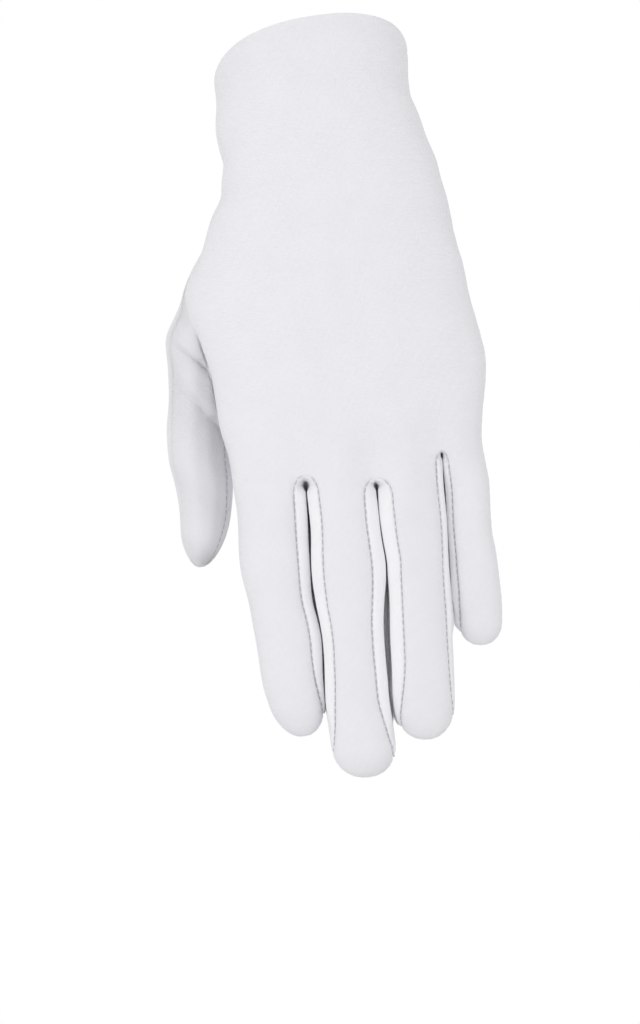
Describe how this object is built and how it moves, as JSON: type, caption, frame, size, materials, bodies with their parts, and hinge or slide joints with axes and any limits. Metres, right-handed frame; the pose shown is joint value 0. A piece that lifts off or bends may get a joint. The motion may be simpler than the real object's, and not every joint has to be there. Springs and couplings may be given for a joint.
{
  "type": "white parade glove, left hand",
  "caption": "Plain white knitted dress glove for the left hand in its worn form, hollow and open at the hemmed wrist, with set-in thumb and finger side strips.",
  "frame": {"origin": "middle of the wrist opening, where the glove sits on the wrist", "axes": "+Z along the hand from the fingertips towards the wrist, -Y out of the back of the hand, +Y out of the palm, +X towards the little finger, -X towards the thumb"},
  "size_m": [0.1006, 0.0546, 0.2374],
  "materials": {
    "knit_cloth": "matt fine white knit with a soft sheen",
    "fourchette_cloth": "the same fine white knit, softly puffed"
  },
  "bodies": {
    "root": {"trank": "knit_cloth", "thumb": "knit_cloth", "fourchette_index_middle": "fourchette_cloth", "fourchette_middle_ring": "fourchette_cloth", "fourchette_ring_little": "fourchette_cloth"}
  },
  "joints": []
}
